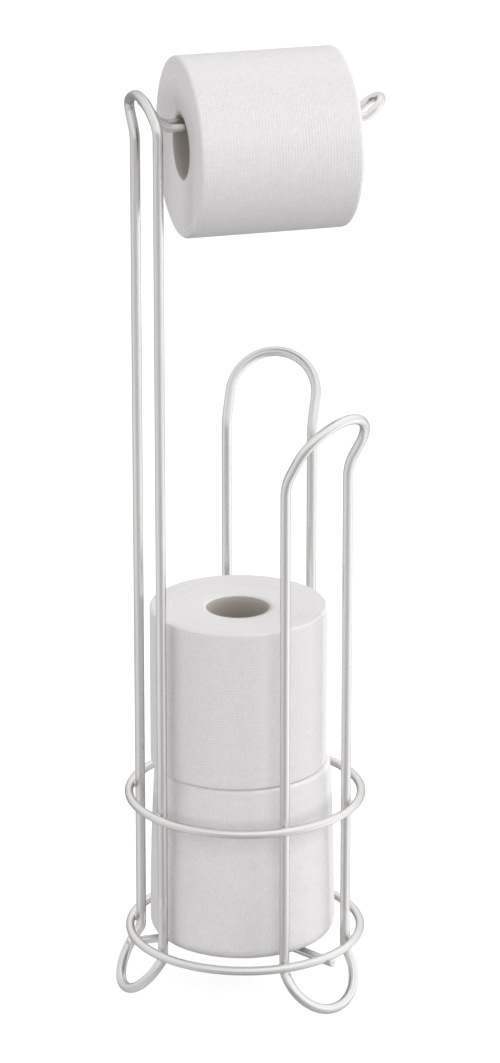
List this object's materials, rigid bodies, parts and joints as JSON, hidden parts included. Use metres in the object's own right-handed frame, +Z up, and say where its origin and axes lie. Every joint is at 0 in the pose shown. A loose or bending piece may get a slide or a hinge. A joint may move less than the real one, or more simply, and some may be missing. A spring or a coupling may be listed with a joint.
{
  "type": "freestanding toilet paper holder",
  "caption": "Freestanding wire toilet paper holder: a hairpin arm on a tall loop carries the roll in use, and welded rings and loops keep spare rolls stacked on spokes below.",
  "frame": {"origin": "on the floor plane, under the middle of the part's overall box", "axes": "+Z up, +X the way the roll arm reaches, away from the tall loop, +Y to the back left of a person who faces the pictured side"},
  "size_m": [0.1752, 0.17, 0.6175],
  "materials": {
    "satin_wire": "satin silver plate on round steel wire",
    "tissue_paper": "matt white wound tissue, finely embossed",
    "cardboard": "matt grey-brown spiral-wound cardboard"
  },
  "bodies": {
    "frame": {"post_loop": "satin_wire", "front_loop": "satin_wire", "rear_loop": "satin_wire", "upper_ring": "satin_wire", "base_ring": "satin_wire", "post_spoke": "satin_wire", "front_spoke": "satin_wire", "rear_spoke": "satin_wire", "roll_arm": "satin_wire"},
    "hanging_roll": {"hanging_paper": "tissue_paper", "hanging_core": "cardboard"},
    "lower_spare": {"lower_spare_paper": "tissue_paper", "lower_spare_core": "cardboard"},
    "upper_spare": {"upper_spare_paper": "tissue_paper", "upper_spare_core": "cardboard"}
  },
  "joints": [
    {"name": "hanging_roll_spin", "type": "hinge", "parent": "frame", "child": "hanging_roll", "pos_m": [0.00701, 0, 0.561], "axis": [1, 0, 0], "continuous": true},
    {"name": "lower_spare_lift", "type": "slide", "parent": "frame", "child": "lower_spare", "axis": [0, 0, 1], "range_m": [0, 0.1]},
    {"name": "upper_spare_lift", "type": "slide", "parent": "lower_spare", "child": "upper_spare", "axis": [0, 0, 1], "range_m": [0, 0.13]}
  ]
}
